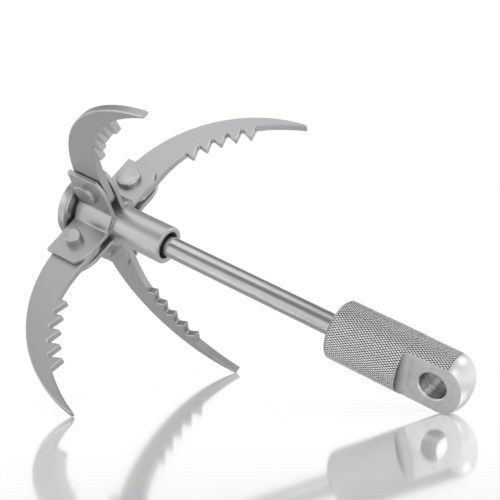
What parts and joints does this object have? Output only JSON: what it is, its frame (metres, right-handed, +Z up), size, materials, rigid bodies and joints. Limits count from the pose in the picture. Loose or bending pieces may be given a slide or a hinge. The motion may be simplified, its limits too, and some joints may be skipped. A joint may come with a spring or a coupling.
{
  "type": "folding grapnel hook",
  "caption": "Small stainless folding grapnel: toothed claws on a sliding tube head, round shank with a stop disc, knurled handle end with a cross-drilled eye.",
  "frame": {"origin": "on the surface that the hook lies on, under the middle of its outline", "axes": "+X runs from the claw head to the eye along the ground, +Z is up; the shank leans down towards +X in the XZ plane"},
  "size_m": [0.2038, 0.1348, 0.1304],
  "materials": {
    "polished_bar": "drawn stainless bar, bright polished, fine marks along its length",
    "turned_plate": "turned stainless disc with a bright chamfered rim",
    "knurled_bar": "stainless bar with a fine diamond knurl, milled flats and a polished domed end",
    "brushed_tube": "brushed stainless tube, dulled near the welds",
    "satin_plate": "tumbled satin stainless plate with brighter edges",
    "pin_steel": "turned stainless pin, satin face and bright rim",
    "weld_metal": "small uneven weld beads, brushed over",
    "bush_plastic": "black acetal"
  },
  "bodies": {
    "shank": {"shank_rod": "polished_bar", "stop_disc": "turned_plate", "disc_weld": "weld_metal", "knurled_handle": "knurled_bar"},
    "guide_bush": {"guide_bush": "bush_plastic"},
    "head": {"head_tube": "brushed_tube", "bracket_1": "satin_plate", "bracket_2": "satin_plate", "bracket_3": "satin_plate", "bracket_4": "satin_plate", "bracket_weld_1": "weld_metal", "bracket_weld_2": "weld_metal", "bracket_weld_3": "weld_metal", "bracket_weld_4": "weld_metal", "claw_pin_1": "pin_steel", "claw_pin_2": "pin_steel", "claw_pin_3": "pin_steel", "claw_pin_4": "pin_steel"},
    "claw_1": {"claw_1": "satin_plate"},
    "claw_2": {"claw_2": "satin_plate"},
    "claw_3": {"claw_3": "satin_plate"},
    "claw_4": {"claw_4": "satin_plate"}
  },
  "joints": [
    {"name": "head_slide", "type": "slide", "parent": "shank", "child": "guide_bush", "axis": [0.9252, 0, -0.3795], "range_m": [0, 0.0931]},
    {"name": "head_spin", "type": "hinge", "parent": "guide_bush", "child": "head", "pos_m": [-0.09073, 0.00181, 0.08766], "axis": [0.9252, 0, -0.3795], "continuous": true},
    {"name": "claw_1_fold", "type": "hinge", "parent": "head", "child": "claw_1", "pos_m": [-0.07578, 0.01648, 0.09777], "axis": [-0.2651, 0.7156, -0.6463], "range_deg": [-3.6, 52]},
    {"name": "claw_2_fold", "type": "hinge", "parent": "head", "child": "claw_2", "pos_m": [-0.07592, -0.01321, 0.09744], "axis": [0.2715, 0.6985, 0.6621], "range_deg": [-0.6, 55]},
    {"name": "claw_3_fold", "type": "hinge", "parent": "head", "child": "claw_3", "pos_m": [-0.08718, -0.01286, 0.06996], "axis": [0.2651, -0.7156, 0.6463], "range_deg": [-3.6, 52]},
    {"name": "claw_4_fold", "type": "hinge", "parent": "head", "child": "claw_4", "pos_m": [-0.08743, 0.01578, 0.06936], "axis": [-0.2524, -0.7467, -0.6154], "range_deg": [-12.1, 43.5]}
  ]
}
